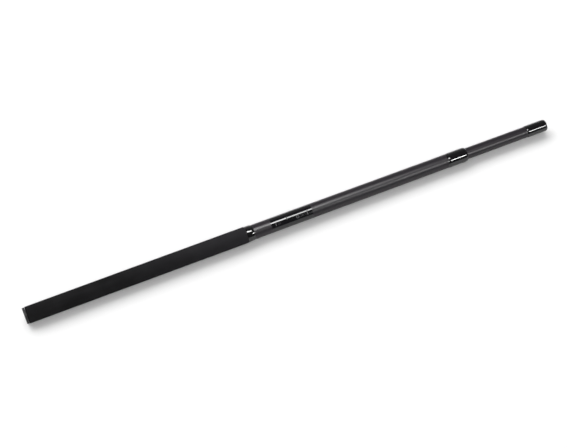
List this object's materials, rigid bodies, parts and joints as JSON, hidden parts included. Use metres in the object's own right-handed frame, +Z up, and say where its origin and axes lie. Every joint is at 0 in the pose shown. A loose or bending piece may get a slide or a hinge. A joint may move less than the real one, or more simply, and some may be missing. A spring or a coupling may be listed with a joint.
{
  "type": "telescopic landing net handle",
  "caption": "Telescopic woven-carbon landing net handle, shown closed: a long rubber grip and screw-in cap at the butt, a slimmer sliding tube with a threaded socket at the tip.",
  "frame": {"origin": "centre of the butt cap's outer end face, on the handle's axis", "axes": "+X along the handle's axis, from the butt end to the tip end; +Z is up with the handle lying level; the handle is round about X"},
  "size_m": [1.05, 0.031, 0.031],
  "materials": {
    "carbon_weave": "satin clear coat over a black and grey woven carbon tube",
    "grip_rubber": "matte black, fine criss-cross texture",
    "binding_thread": "black nylon thread, close wound",
    "gloss_resin": "thick gloss black resin with rounded ends",
    "label_film": "gloss black printed film",
    "black_nylon": "satin moulded",
    "anodised_alloy": "black anodised, turned",
    "brass": "turned brass",
    "bumper_rubber": "matte black",
    "seal_rubber": "smooth black"
  },
  "bodies": {
    "butt_section": {"butt_tube": "carbon_weave", "grip_sleeve": "grip_rubber", "grip_front_binding": "binding_thread", "grip_front_resin": "gloss_resin", "label_film": "label_film", "mouth_binding": "binding_thread", "mouth_resin": "gloss_resin", "butt_ferrule": "anodised_alloy"},
    "tip_carrier": {"base_bung": "black_nylon"},
    "tip_section": {"tip_tube": "carbon_weave", "tip_binding": "binding_thread", "tip_resin": "gloss_resin", "tip_end_fitting": "anodised_alloy", "thread_insert": "brass"},
    "cap_seal": {"cap_o_ring": "seal_rubber"},
    "screw_cap": {"butt_cap": "black_nylon", "cap_bumper": "bumper_rubber"}
  },
  "joints": [
    {"name": "tip_slide", "type": "slide", "parent": "butt_section", "child": "tip_carrier", "axis": [1, 0, 0], "range_m": [0, 0.78]},
    {"name": "tip_spin", "type": "hinge", "parent": "tip_carrier", "child": "tip_section", "pos_m": [0, 0, 0], "axis": [1, 0, 0], "continuous": true},
    {"name": "cap_advance", "type": "slide", "parent": "butt_section", "child": "cap_seal", "axis": [-1, 0, 0], "range_m": [0, 0.009]},
    {"name": "cap_turn", "type": "hinge", "parent": "cap_seal", "child": "screw_cap", "pos_m": [0, 0, 0], "axis": [-1, 0, 0], "range_deg": [0, 1080]}
  ],
  "couplings": [
    {"joint": "cap_advance", "follows": "cap_turn", "m_per_rad": 0.00047746}
  ]
}
